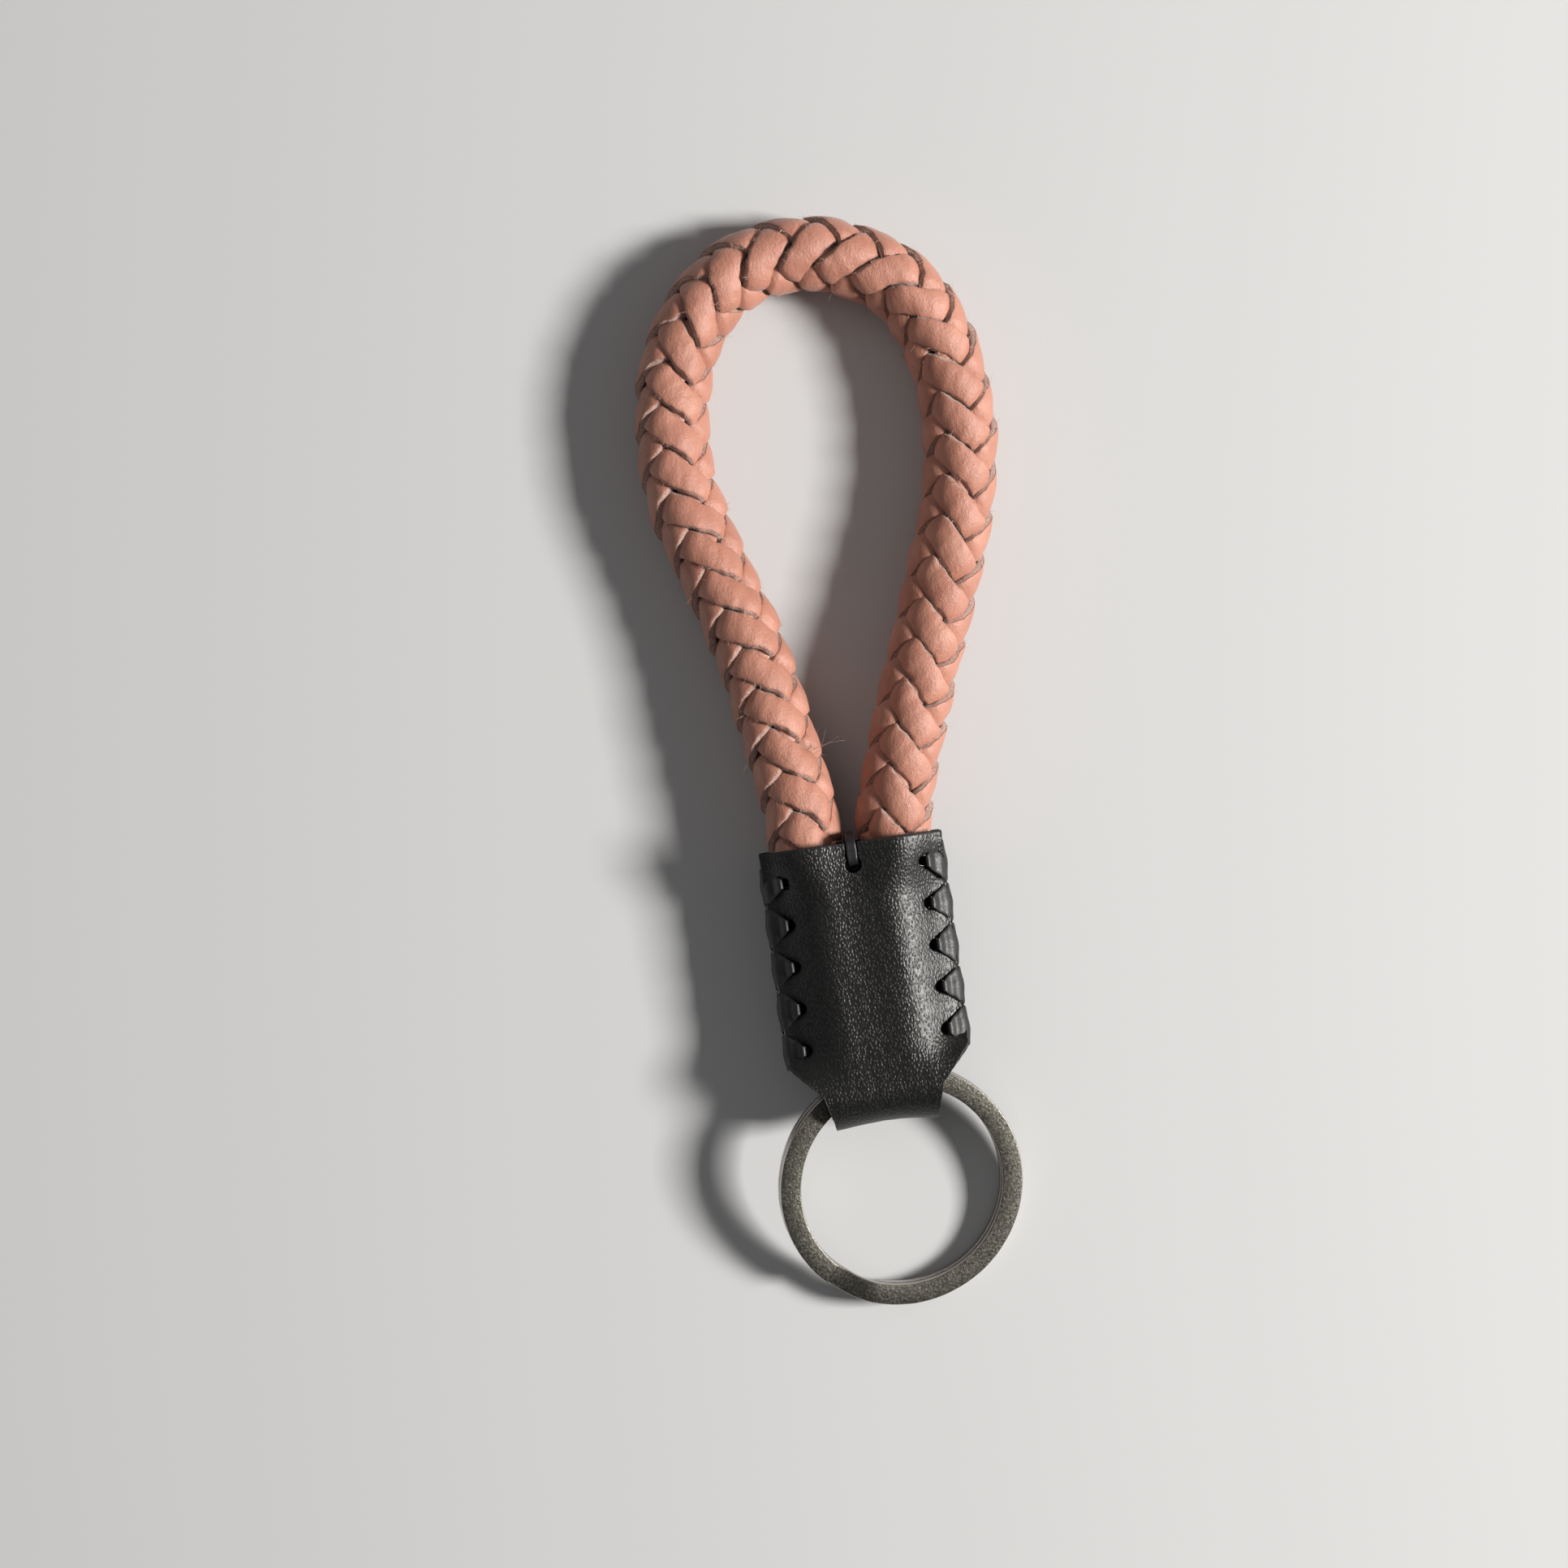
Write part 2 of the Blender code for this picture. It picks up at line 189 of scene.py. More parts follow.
def smoothstep(t):
    """0 below 0, 1 above 1, and a smooth step between."""
    t = np.clip(t, 0.0, 1.0)
    return t * t * (3 - 2 * t)


def blend(value, stops):
    """A smooth function through (value, result) stops, flat beyond the first and the last."""
    value = np.asarray(value, float)
    result = np.full(value.shape, float(stops[0][1]))
    for (a, low), (b, high) in zip(stops, stops[1:]):
        result = result + (high - low) * smoothstep((value - a) / (b - a))
    return result


def wander(x, seed, size=1.0):
    """A smooth random-looking curve of x, from a few sine waves, about -1 to 1."""
    rng = np.random.default_rng(seed)
    total = np.zeros_like(np.asarray(x, float))
    for octave in range(4):
        rate = (0.7 + rng.random()) * 1.9 ** octave / size
        total = total + np.sin(x * rate + rng.random() * 6.283) / (octave + 1.5)
    return total / 1.4


def smooth_route(points, steps):
    """A Catmull-Rom curve through the points, with the same number of steps in each stretch."""
    route = np.array(points, float)
    padded = np.vstack([2 * route[0] - route[1], route, 2 * route[-1] - route[-2]])
    a, b, c, d = padded[:-3], padded[1:-2], padded[2:-1], padded[3:]
    curve = []
    for t in np.arange(steps) / steps:
        curve.append(0.5 * (
            2 * b
            + (c - a) * t
            + (2 * a - 5 * b + 4 * c - d) * t * t
            + (3 * b - a - 3 * c + d) * t ** 3
        ))
    return np.vstack([np.stack(curve, 1).reshape(-1, 3), route[-1]])


def evenly_spaced(curve, spacing):
    """Points along a curve at equal distances, and the distance of each from the start."""
    steps = np.linalg.norm(np.diff(curve, axis=0), axis=1)
    lengths = np.concatenate([[0], np.cumsum(steps)])
    at = np.linspace(0, lengths[-1], math.ceil(lengths[-1] / spacing) + 1)
    points = np.stack([np.interp(at, lengths, curve[:, k]) for k in range(3)], 1)
    return points, at


def unit(vectors):
    """The vectors at length 1."""
    return vectors / np.maximum(np.linalg.norm(vectors, axis=-1, keepdims=True), 1e-12)


def grid_faces(rows, columns, closed=False, offset=0):
    """Quads over a grid of points, joined round each row if it is closed."""
    i = np.arange(rows - 1)[:, None]
    j = np.arange(columns if closed else columns - 1)[None, :]
    n = (j + 1) % columns
    a = i * columns + j
    b = i * columns + n
    return np.stack([a, b, b + columns, a + columns], -1).reshape(-1, 4) + offset


def mesh_object(name, points, faces, finishes, attributes=None, smooth=True):
    """An object from points in millimetres, with float attributes that its materials read."""
    mesh = bpy.data.meshes.new(name)
    mesh.from_pydata((np.asarray(points) * MM).tolist(), [], [tuple(f) for f in faces])
    for label, values in (attributes or {}).items():
        layer = mesh.attributes.new(label, "FLOAT", "POINT")
        layer.data.foreach_set("value", np.asarray(values, np.float32).ravel())
    for finish in finishes:
        mesh.materials.append(finish)
    if smooth:
        mesh.polygons.foreach_set("use_smooth", np.ones(len(mesh.polygons), bool))
    mesh.update()
    thing = bpy.data.objects.new(name, mesh)
    bpy.context.scene.collection.objects.link(thing)
    return thing


def sweep(path, across, out, section):
    """A closed section swept along a path. section is (n, k, 2): offsets across and out."""
    return (
        path[:, None, :]
        + section[..., 0:1] * across[:, None, :]
        + section[..., 1:2] * out[:, None, :]
    )


def closed_sweep_faces(rows, columns):
    """The sides and the two end caps of a swept section."""
    sides = grid_faces(rows, columns, closed=True).tolist()
    first = list(range(columns))[::-1]
    last = [(rows - 1) * columns + k for k in range(columns)]
    return sides + [first, last]


# ---------------------------------------------------------------- materials

class Nodes:
    """A short way to build a node material."""

    def __init__(self, name):
        self.material = bpy.data.materials.new(name)
        self.material.use_nodes = True
        self.tree = self.material.node_tree
        self.shader = self.tree.nodes["Principled BSDF"]

    def add(self, kind, inputs=None, **settings):
        node = self.tree.nodes.new(kind)
        for key, value in settings.items():
            setattr(node, key, value)
        for key, value in (inputs or {}).items():
            self.put(node, key, value)
        return node

    def put(self, node, key, value):
        """Set an input, or link it if the value is another node's output."""
        socket = node.inputs[key]
        if isinstance(value, bpy.types.NodeSocket):
            self.tree.links.new(value, socket)
        else:
            socket.default_value = value

    def shade(self, **values):
        """Set the shader's inputs, named with _ for each space."""
        for key, value in values.items():
            self.put(self.shader, key.replace("_", " "), value)

    def coordinates(self, stretch=(1, 1, 1)):
        place = self.add("ShaderNodeTexCoord").outputs["Object"]
        return self.add("ShaderNodeMapping", {"Vector": place, "Scale": stretch}).outputs["Vector"]

    def noise(self, size_mm, detail=3.0, roughness=0.55, stretch=(1, 1, 1)):
        inputs = {
            "Vector": self.coordinates(stretch),
            "Scale": 1 / (size_mm * MM),
            "Detail": detail,
            "Roughness": roughness,
        }
        return self.add("ShaderNodeTexNoise", inputs).outputs["Fac"]

    def ramp(self, value, stops):
        node = self.add("ShaderNodeValToRGB", {"Fac": value})
        elements = node.color_ramp.elements
        while len(elements) < len(stops):
            elements.new(0.5)
        for element, (place, colour) in zip(elements, stops):
            element.position = place
            element.color = (*colour, 1.0) if len(colour) == 3 else colour
        return node.outputs["Color"]

    def spread(self, value, low, high, to_low=0.0, to_high=1.0):
        inputs = {
            "Value": value,
            "From Min": low,
            "From Max": high,
            "To Min": to_low,
            "To Max": to_high,
        }
        return self.add("ShaderNodeMapRange", inputs).outputs["Result"]

    def mix(self, share, a, b):
        node = self.add("ShaderNodeMix", data_type="RGBA")
        self.put(node, 0, share)
        for index, value in ((6, a), (7, b)):
            is_socket = isinstance(value, bpy.types.NodeSocket)
            self.put(node, index, value if is_socket else (*value, 1.0))
        return node.outputs[2]

    def maths(self, operation, a, b=0.0):
        node = self.add("ShaderNodeMath", operation=operation)
        self.put(node, 0, a)
        self.put(node, 1, b)
        return node.outputs[0]

    def attribute(self, name):
        return self.add("ShaderNodeAttribute", attribute_name=name).outputs["Fac"]

    def bump(self, layers):
        """Bumps on top of each other: (height, depth in millimetres) for each layer."""
        normal = None
        for height, depth_mm in layers:
            node = self.add("ShaderNodeBump", {"Height": height, "Distance": depth_mm * MM})
            if normal is not None:
                self.put(node, "Normal", normal)
            normal = node.outputs["Normal"]
        self.put(self.shader, "Normal", normal)


def strap_leather():
    """Salmon leather: a smooth face with pores and creases, and raw fibrous cut edges."""
    n = Nodes("strap leather")
    raw = n.attribute("raw_edge")
    blotch = n.noise(5.0, detail=2.0)
    fine = n.noise(0.4, detail=5.0, roughness=0.65)
    pores = n.noise(0.15, detail=2.0, roughness=0.5)
    creases = n.noise(0.9, detail=6.0, roughness=0.72, stretch=(1.0, 0.55, 1.0))
    face = n.ramp(blotch, [(0.3, (0.41, 0.172, 0.117)), (0.7, (0.50, 0.226, 0.160))])
    face = n.mix(n.spread(fine, 0.55, 0.75, 0.0, 0.4), face, (0.34, 0.13, 0.08))
    fibres = n.noise(0.12, detail=4.0, roughness=0.75)
    cut = n.ramp(fibres, [
        (0.38, (0.25, 0.11, 0.09)),
        (0.50, (0.66, 0.42, 0.35)),
        (0.64, (0.85, 0.68, 0.60)),
    ])
    n.shade(
        Base_Color=n.mix(raw, face, cut),
        Roughness=n.spread(raw, 0.0, 1.0, 0.38, 0.95),
        Specular_IOR_Level=0.5,
        Subsurface_Weight=0.08,
        Subsurface_Radius=(1.0, 0.35, 0.2),
        Subsurface_Scale=0.6 * MM,
        Sheen_Weight=0.12,
        Sheen_Roughness=0.5,
    )
    rough_cut = n.maths("MULTIPLY", fibres, raw)
    n.bump([(creases, 0.16), (fine, 0.07), (pores, 0.03), (rough_cut, 0.3)])
    return n.material


def core_painted_shade():
    """Near-black core colour: painted shade for what shows between the strips."""
    n = Nodes("strap core painted shade")
    tone = n.noise(0.6)
    # Painted shade: the core's near-black colour stands for the shade in the gaps between the strips.
    n.shade(
        Base_Color=n.ramp(tone, [(0.3, (0.05, 0.018, 0.014)), (0.7, (0.10, 0.036, 0.026))]),
        Roughness=0.9,
    )
    n.bump([(tone, 0.1)])
    return n.material


def fibre_finish():
    """Pale raw leather, for the loose fibres."""
    n = Nodes("leather fibre")
    tone = n.noise(1.5)
    n.shade(
        Base_Color=n.ramp(tone, [(0.35, (0.42, 0.18, 0.13)), (0.65, (0.74, 0.50, 0.41))]),
        Roughness=0.8,
    )
    return n.material


def sleeve_leather():
    """Black pebbled leather, with dull cut edges, and painted shade in the hollows between the pebbles.
    """
    n = Nodes("pebbled leather")
    raw = n.attribute("raw_edge")
    warp = n.add("ShaderNodeTexNoise", {"Vector": n.coordinates(), "Scale": 900.0, "Detail": 2.0})
    place = n.add("ShaderNodeVectorMath", operation="MULTIPLY_ADD")
    n.put(place, 0, warp.outputs["Color"])
    n.put(place, 1, (0.25 * MM, 0.25 * MM, 0.25 * MM))
    n.put(place, 2, n.coordinates((1.0, 0.62, 1.0)))
    cells = n.add(
        "ShaderNodeTexVoronoi",
        {"Vector": place.outputs[0], "Scale": 3700.0, "Smoothness": 0.5},
        feature="SMOOTH_F1",
    ).outputs["Distance"]
    pebble = n.spread(cells, 0.05, 0.62, 1.0, 0.0)
    fine = n.noise(0.12, detail=3.0)
    wrinkle = n.noise(2.4, detail=4.0)
    # Painted shade: the colour darkens from the pebbles' tops down into the hollows between them.
    valley = n.ramp(pebble, [(0.15, (0.0030, 0.0030, 0.0030)), (0.65, (0.0095, 0.0092, 0.0090))])
    cut = n.ramp(fine, [(0.3, (0.006, 0.006, 0.007)), (0.7, (0.03, 0.028, 0.03))])
    n.shade(
        Base_Color=n.mix(raw, valley, cut),
        Roughness=n.spread(raw, 0.0, 1.0, 0.42, 0.9),
        Specular_IOR_Level=0.5,
    )
    grain = n.maths("MULTIPLY", pebble, n.spread(raw, 0.0, 1.0, 1.0, 0.0))
    n.bump([(wrinkle, 0.015), (grain, 0.05), (fine, 0.004)])
    return n.material


def lace_leather():
    """Smooth black leather."""
    n = Nodes("lace leather")
    tone = n.noise(1.1, detail=4.0)
    fine = n.noise(0.2, detail=3.0)
    n.shade(
        Base_Color=n.ramp(tone, [(0.3, (0.004, 0.004, 0.005)), (0.7, (0.011, 0.011, 0.013))]),
        Roughness=n.spread(fine, 0.3, 0.7, 0.42, 0.58),
        Specular_IOR_Level=0.55,
    )
    n.bump([(tone, 0.06), (fine, 0.012)])
    return n.material


def binding_thread():
    """Dark brown thread."""
    n = Nodes("binding thread")
    turns = n.noise(0.25)
    n.shade(
        Base_Color=n.ramp(turns, [(0.3, (0.03, 0.02, 0.015)), (0.7, (0.07, 0.05, 0.035))]),
        Roughness=0.75,
    )
    n.bump([(turns, 0.05)])
    return n.material


def ring_steel():
    """Dark antique nickel: mottled flats, polished walls."""
    n = Nodes("antique nickel")
    wall = n.attribute("wall")
    mottle = n.noise(0.34, detail=6.0, roughness=0.7)
    speck = n.noise(0.22, detail=3.0)
    flat = n.ramp(mottle, [
        (0.34, (0.050, 0.048, 0.042)),
        (0.52, (0.115, 0.110, 0.095)),
        (0.70, (0.24, 0.23, 0.20)),
    ])
    polished = n.ramp(speck, [(0.3, (0.38, 0.34, 0.31)), (0.7, (0.56, 0.51, 0.47))])
    n.shade(
        Base_Color=n.mix(wall, flat, polished),
        Metallic=1.0,
        Roughness=n.spread(wall, 0.0, 1.0, 0.42, 0.2),
    )
    n.bump([(mottle, 0.05), (speck, 0.02)])
    return n.material


def paper_floor():
    """Pale matte paper."""
    n = Nodes("floor")
    n.shade(Base_Color=(0.58, 0.59, 0.60, 1.0), Roughness=1.0, Specular_IOR_Level=0.0)
    return n.material


# ---------------------------------------------------------------- the strap

def strap_leg(sign):
    """The strap's end inside the sleeve, from the mouth down to its cut end."""
    steps = [(0.0, LEG_X), (TAPER_LENGTH, 4.75), (7.0, LEG_END_X), (LEG_DEPTH, LEG_END_X)]
    return [(SLEEVE_X + sign * x, SLEEVE_TOP - depth, MID_Z) for depth, x in steps]


class Strap:
    """The strap's centreline, with a frame at every point of it."""

    def __init__(self, spacing):
        left = strap_leg(-1)[::-1]
        loop = [(x, SLEEVE_TOP + beyond, z) for x, beyond, z in STRAP_ROUTE]
        curve = smooth_route(left + loop + strap_leg(1), ROUTE_STEPS)
        self.points, self.along = evenly_spaced(curve, spacing)
        self.length = float(self.along[-1])
        tangent = unit(np.gradient(self.points, axis=0))
        self.right = unit(np.cross(tangent, [0, 0, 1]))
        self.up = np.cross(self.right, tangent)
        depth = SLEEVE_TOP - self.points[:, 1]
        self.share = blend(depth, [(0.0, 1.0), (TAPER_LENGTH, LEG_END_RADIUS / STRAP_RADIUS)])

    def at(self, values, s):
        """One of the strap's vectors at each distance along it."""
        return np.stack([np.interp(s, self.along, values[:, k]) for k in range(3)], -1)

    def surface(self, s, theta, radius):
        """Points at a distance along the strap, an angle round it, and a radius from its middle."""
        low, high = (math.radians(a) for a in WEAVE_TURN_DEGREES)
        turn = theta + low + (high - low) * s / self.length
        radius = radius * np.interp(s, self.along, self.share)
        sideways = self.at(self.right, s) * (radius * np.cos(turn))[..., None]
        upwards = self.at(self.up, s) * (radius * np.sin(turn))[..., None]
        return self.at(self.points, s) + sideways + upwards


def weave(phase):
    """1 where a strip lies over the others, -1 where it lies under them, with soft steps."""
    wave = np.cos(phase)
    return wave * math.sqrt(1 + WEAVE_SOFTNESS ** 2) / np.sqrt(wave ** 2 + WEAVE_SOFTNESS ** 2)


def strip_section():
    """A strip's outline: share of the half width, height in its thickness, and how raw it is."""
    across = np.array([-0.86, -0.74, -0.52, -0.26, 0.0, 0.26, 0.52, 0.74, 0.86])
    top = [(w, 0.5 - 0.12 * w ** 8, 0.0) for w in across]
    right_edge = [(0.90, 0.42, 0.0), (0.915, 0.36, 1.0), (0.985, 0.08, 1.0), (1.06, -0.26, 1.0)]
    under = [(1.0, -0.5, 0.6), (0.4, -0.5, 0.0), (-0.4, -0.5, 0.0), (-1.0, -0.5, 0.6)]
    left_edge = [(-w, height, raw) for w, height, raw in right_edge[::-1]]
    return np.array(top + right_edge + under + left_edge)


# Places in that outline: the middle of the top, and one near each raw edge.
TOP_PLACE = 4
EDGE_PLACES = (10, 20)


def strip_points(strap, family, index, step):
    """One braided strip. family is 1 for those that climb leftwards over the top, -1 otherwise."""
    section = strip_section()
    rate = 2 * math.pi / BRAID_PITCH
    slope = math.atan2(BRAID_PITCH, 2 * math.pi * STRAP_RADIUS)
    seed = 100 + 10 * index + family
    s = np.arange(0, strap.length + step / 2, step)[:, None]
    width = STRIP_WIDTH / 2 * (1 + WIDTH_WANDER * wander(s, seed, 3.0))
    ragged = RAGGEDNESS * wander(s * 5.0, seed + 1) * np.sign(section[None, :, 0])
    lateral = section[None, :, 0] * width + ragged * section[None, :, 2]
    lateral = lateral + SIDEWAYS_WANDER * wander(s, seed + 2, 1.7)
    quarter = math.pi / 2
    centre = family * rate * s + index * quarter
    theta = centre - family * math.sin(slope) * lateral / STRAP_RADIUS
    place = np.clip(s + math.cos(slope) * lateral, 0, strap.length)
    crossing = theta + family * rate * place
    over_centre = (0.5 - index) * quarter if family > 0 else (2.5 - index) * quarter
    height = WEAVE_AMPLITUDE * weave(crossing - over_centre)
    middle = STRAP_RADIUS - STRIP_THICKNESS / 2 - WEAVE_AMPLITUDE
    share = section[None, :, 0]
    dome = -STRIP_DOME * share ** 2
    tilt = (TILT_WANDER * wander(s, seed + 3, 2.0) - STRIP_TILT) * share
    lift = LIFT_WANDER * wander(s, seed + 4, 1.8)
    radius = middle + height + dome + tilt + lift + section[None, :, 1] * STRIP_THICKNESS
    points = strap.surface(place, theta, radius)
    points[..., 2] = np.maximum(points[..., 2], STRAP_CLEARANCE)
    raw = np.broadcast_to(section[None, :, 2], radius.shape)
    return points, raw, height / WEAVE_AMPLITUDE


def make_braid(strap, finish):
    """The eight strips as one mesh, and what the loose fibres grow from."""
    step = 0.2
    points, faces, raw, edges = [], [], [], []
    offset = 0
    for family in (1, -1):
        for index in range(STRIPS_EACH_WAY):
            strip, strip_raw, height = strip_points(strap, family, index, step)
            rows, columns = strip.shape[:2]
            points.append(strip.reshape(-1, 3))
            raw.append(strip_raw.ravel())
            faces += [[v + offset for v in face] for face in closed_sweep_faces(rows, columns)]
            offset += rows * columns
            for place in EDGE_PLACES:
                over = (height[:, place] > FIBRES_ABOVE) & (strip[:, place, 2] > FIBRE_FLOOR)
                edges.append((strip[over, place], strip[over, TOP_PLACE]))
    braid = mesh_object(
        "braided_strips",
        np.vstack(points),
        faces,
        [finish],
        {"raw_edge": np.concatenate(raw)},
    )
    return braid, edges


def make_core(strap, finish):
    """What the strips are braided over, seen only in the gaps, where its near-black colour is painted
    shade.
    """
    s = np.arange(0, strap.length, 1.0)[:, None]
    sides = 16
    theta = np.linspace(0, 2 * math.pi, sides, endpoint=False)[None, :]
    s, theta = np.broadcast_arrays(s, theta)
    points = strap.surface(s, theta, np.full(s.shape, CORE_RADIUS))
    return mesh_object("strap_core", points.reshape(-1, 3), closed_sweep_faces(len(s), sides), [finish])


def hair(root, direction, curl, length, thickness):
    """A thin tapered fibre that bends as it leaves its root."""
    t = np.linspace(0, 1, FIBRE_RINGS)[:, None]
    path = root + length * (direction * t + curl * t * t)
    path[:, 2] = np.maximum(path[:, 2], FIBRE_CLEARANCE)
    across = unit(np.cross(direction, curl + 1e-6))
    other = unit(np.cross(direction, across))
    angle = np.linspace(0, 2 * math.pi, 3, endpoint=False)
    size = thickness * (1 - 0.75 * t)
    ring = size[..., None] * (
        np.cos(angle)[None, :, None] * across + np.sin(angle)[None, :, None] * other
    )
    return (path[:, None, :] + ring).reshape(-1, 3)


def make_fibres(edges, finish):
    """Loose fibres on the strips' raw edges, in little tufts, with one fray and one long stray."""
    tufts = TUFT_COUNT
    points, faces = [], []
    template = closed_sweep_faces(FIBRE_RINGS, 3)

    def grow(root, direction, curl, length, thickness):
        offset = 3 * FIBRE_RINGS * len(points)
        points.append(hair(root, direction, curl, length, thickness))
        faces.extend([[v + offset for v in face] for face in template])

    for _ in range(tufts):
        roots, middles = edges[RNG.integers(len(edges))]
        at = int(RNG.integers(len(roots)))
        for _ in range(int(RNG.integers(1, 5))):
            near = min(len(roots) - 1, max(0, at + int(RNG.integers(-2, 3))))
            root = roots[near]
            outward = unit(root - middles[near])
            direction = unit(outward + RNG.normal(0, 0.55, 3))
            curl = RNG.normal(0, 0.6, 3)
            grow(root, direction, curl, RNG.uniform(0.2, 0.8), RNG.uniform(0.018, 0.034))
    fray = np.array([SLEEVE_X - 2.9, SLEEVE_TOP + 11.6, MID_Z + 2.6])
    for _ in range(26):
        direction = unit(np.array([0.6, 0.3, 0.5]) + RNG.normal(0, 0.6, 3))
        root = fray + RNG.normal(0, 0.35, 3)
        grow(root, direction, RNG.normal(0, 0.9, 3), RNG.uniform(0.5, 1.6), RNG.uniform(0.015, 0.03))
    grow(fray, unit(np.array([1.0, 0.42, 0.1])), np.array([0.0, -0.25, 0.1]), 4.4, 0.045)
    return mesh_object("strap_fibres", np.vstack(points), faces, [finish])


def make_whipping(side, finish):
    """The turns of thread that bind one end of the strap."""
    low, high = (np.array(corner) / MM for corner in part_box(f"strap_whipping_{side}"))
    centre = (low + high) / 2
    radius = (high[0] - low[0]) / 2 - THREAD_RADIUS
    turns = int((high[1] - low[1]) / (2.05 * THREAD_RADIUS))
    steps = 24
    angle = np.linspace(0, 2 * math.pi * turns, steps * turns + 1)
    rise = np.linspace(low[1] + THREAD_RADIUS, high[1] - THREAD_RADIUS, len(angle))
    out = np.stack([np.cos(angle), np.zeros_like(angle), np.sin(angle)], 1)
    path = np.stack([centre[0] + radius * out[:, 0], rise, centre[2] + radius * out[:, 2]], 1)
    around = np.linspace(0, 2 * math.pi, 6, endpoint=False)
    section = np.stack([np.cos(around), np.sin(around)], 1)[None] * THREAD_RADIUS
    points = sweep(path, np.broadcast_to([0.0, 1.0, 0.0], path.shape), out, section)
    name = f"whipping_{side}"
    return mesh_object(name, points.reshape(-1, 3), closed_sweep_faces(len(path), 6), [finish])


# ---------------------------------------------------------------- the sleeve

def half_width(y):
    """Half the sleeve's width at a height above the hinge axis, with its cut corners."""
    panel = HALF_WIDTH_AT_AXIS + (HALF_WIDTH - HALF_WIDTH_AT_AXIS) * np.clip(y / CHAMFER_START, 0, 1)
    fold = (HALF_WIDTH_AT_FOLD - HALF_WIDTH_AT_AXIS) * np.clip(-y / FOLD_DEPTH, 0, 1)
    return panel + fold


def half_gap(x, y):
    """Half the space between the two panels, softened as leather drapes over what it holds."""
    return sum(folded_gap(x + 0.55 * step, y) for step in (-2, -1, 0, 1, 2)) / 5


def folded_gap(x, y):
    """Half the space between the panels, x from the sleeve's middle, y above the hinge."""
    top = PANEL_LENGTH
    x, y = np.broadcast_arrays(np.asarray(x, float), np.asarray(y, float))
    crown = blend(y, [(0, FOLD_HEIGHT), (7, 3.9), (top - 8, 4.5), (top, 5.45)])
    edge = blend(y, [(0.5, FOLD_HEIGHT), (6.5, 0.4), (top - 7, 0.4), (top, 2.3)])
    valley = blend(y, [(0, 0.0), (8, 0.25), (top - 8, 0.7), (top, 1.5)])
    shoulder = blend(y, [(top - 8, 3.8), (top, 6.0)])
    gap = crown + (edge - crown) * smoothstep((np.abs(x) - shoulder) / (HALF_WIDTH - shoulder))
    dip = np.cos(math.pi * np.clip(np.abs(x) / LEG_X, 0, 1) / 2) ** 2
    return gap - VALLEY_SHARE * valley * dip


def sleeve_inner(s, v):
    """The strip's inner surface: s is 1 at the front top edge, 0 at the fold and -1 behind."""
    side = np.where(s >= 0, 1.0, -1.0)
    a = np.abs(s)
    angle = math.pi / 2 * np.clip(a / FOLD_SHARE, 0, 1)
    depth = FOLD_DEPTH + (FOLD_DEPTH_AT_SIDES - FOLD_DEPTH) * v * v
    on_panel = a > FOLD_SHARE
    panel_y = PANEL_LENGTH * (a - FOLD_SHARE) / (1 - FOLD_SHARE)
    y = np.where(on_panel, panel_y, -depth * np.cos(angle))
    x = v * half_width(y)
    z = side * np.where(on_panel, half_gap(x, np.maximum(y, 0)), FOLD_HEIGHT * np.sin(angle))
    return np.stack([SLEEVE_X + x, HINGE_Y + y, MID_Z + z], -1)


def sleeve_normal(s, v):
    """The outward direction of the strip at each point."""
    step = 0.004
    along = sleeve_inner(np.minimum(s + step, 1), v) - sleeve_inner(np.maximum(s - step, -1), v)
    across = sleeve_inner(s, np.minimum(v + step, 1)) - sleeve_inner(s, np.maximum(v - step, -1))
    return unit(np.cross(across, along))


def over_panel(x, y, standoff):
    """The height above the sleeve's middle of a point that stands off its outer surface."""
    slope = (half_gap(x + 0.05, y) - half_gap(x - 0.05, y)) / 0.1
    return float(half_gap(x, y) + (LEATHER + standoff) * np.hypot(1, slope))


def lacing_rows(side):
    """The height of each lacing hole on one side."""
    first = SLEEVE_TOP - FIRST_HOLE_DROP[side]
    return [first - HOLE_SPACING * i for i in range(HOLE_COUNT)]


def lacing_holes():
    """The middle of every lacing hole, across and along the sleeve."""
    return [
        (SLEEVE_X + sign * HOLE_X, y)
        for side, sign in (("left", -1), ("right", 1))
        for y in lacing_rows(side)
    ]


def worn_shape(points):
    """How far the leather has moved from its plain shape: drawn in at each hole, softly creased."""
    x, y = points[..., 0], points[..., 1]
    across = wander(x * 1.3 + y * 0.2, 41, 3.5)
    along = wander(y * 1.1 - x * 0.2, 42, 4.0)
    moved = 0.04 * across + 0.04 * along
    for hole_x, hole_y in lacing_holes():
        apart = (x - hole_x) ** 2 + (y - hole_y) ** 2
        moved = moved - 0.2 * np.exp(-apart / 1.7)
    return moved


def sheet_border(tall, wide):
    """The numbers of the points round the edge of a grid, in order."""
    first_column = [i * wide for i in range(tall)]
    last_row = [(tall - 1) * wide + j for j in range(1, wide)]
    last_column = [i * wide + wide - 1 for i in range(tall - 2, -1, -1)]
    first_row = list(range(wide - 2, 0, -1))
    return first_column + last_row + last_column + first_row


def sheet_faces(tall, wide, layers):
    """The faces of a sheet with thickness: its two sides, and the edge all round."""
    size = tall * wide
    faces = [face[::-1] for face in grid_faces(tall, wide).tolist()]
    faces += grid_faces(tall, wide, offset=size * (layers - 1)).tolist()
    border = sheet_border(tall, wide)
    for layer in range(layers - 1):
        low, high = layer * size, (layer + 1) * size
        for a, b in zip(border, border[1:] + border[:1]):
            faces.append([low + a, low + b, high + b, high + a])
    return faces


